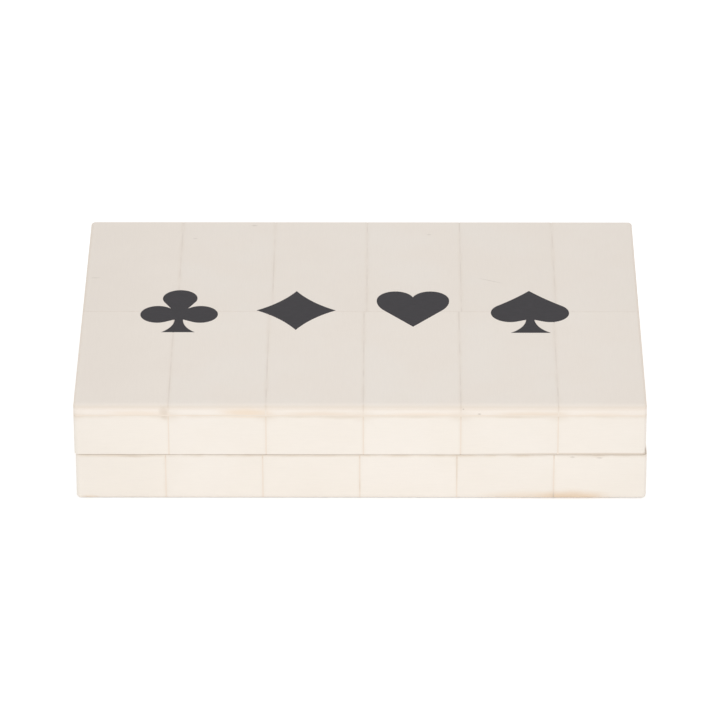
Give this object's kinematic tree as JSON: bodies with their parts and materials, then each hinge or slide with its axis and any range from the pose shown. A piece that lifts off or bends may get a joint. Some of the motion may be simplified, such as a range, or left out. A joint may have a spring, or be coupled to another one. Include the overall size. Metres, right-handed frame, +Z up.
{
  "type": "card and dice box",
  "caption": "Low rectangular box clad in cream bone slabs, with card suits inlaid in its hinged lid and lined wells for playing cards and dice.",
  "frame": {"origin": "on the underside, at the middle of the box's length and depth", "axes": "+X along the length, to the right as seen from the front; -Y out of the front; +Z up"},
  "size_m": [0.2036, 0.1432, 0.0381],
  "materials": {
    "bone": "satin polished bone",
    "seam_resin": "matte tan filler",
    "suit_inlay": "matte charcoal",
    "wood": "stained, thin lacquer",
    "felt": "short felt",
    "brass": "polished, slightly dulled"
  },
  "bodies": {
    "base": {"base_floor": "wood", "left_divider": "wood", "right_divider": "wood", "base_front_wall": "wood", "base_front_slabs": "bone", "base_back_wall": "wood", "base_back_slabs": "bone", "base_left_wall": "wood", "base_left_slabs": "bone", "base_right_wall": "wood", "base_right_slabs": "bone", "base_seam_resin": "seam_resin", "base_hinge_screws": "brass", "left_card_well_lining": "felt", "dice_well_lining": "felt", "right_card_well_lining": "felt", "underside_felt": "felt", "left_hinge_lower_leaf": "brass", "left_hinge_pin": "brass", "right_hinge_lower_leaf": "brass", "right_hinge_pin": "brass"},
    "lid": {"lid_panel": "wood", "lid_front_wall": "wood", "lid_front_slabs": "bone", "lid_back_wall": "wood", "lid_back_slabs": "bone", "lid_left_wall": "wood", "lid_left_slabs": "bone", "lid_right_wall": "wood", "lid_right_slabs": "bone", "lid_seam_resin": "seam_resin", "lid_hinge_screws": "brass", "lid_top_front_slab_1": "bone", "lid_top_front_slab_2": "bone", "lid_top_front_slab_3": "bone", "lid_top_front_slab_4": "bone", "lid_top_front_slab_5": "bone", "lid_top_front_slab_6": "bone", "lid_top_back_slab_1": "bone", "lid_top_back_slab_2": "bone", "lid_top_back_slab_3": "bone", "lid_top_back_slab_4": "bone", "lid_top_back_slab_5": "bone", "lid_top_back_slab_6": "bone", "club_inlay": "suit_inlay", "diamond_inlay": "suit_inlay", "heart_inlay": "suit_inlay", "spade_inlay": "suit_inlay", "lid_lining": "felt", "left_hinge_upper_leaf": "brass", "right_hinge_upper_leaf": "brass"}
  },
  "joints": [
    {"name": "lid_hinge", "type": "hinge", "parent": "base", "child": "lid", "pos_m": [0, 0.07165, 0.01805], "axis": [-1, 0, 0], "range_deg": [0, 95]}
  ]
}
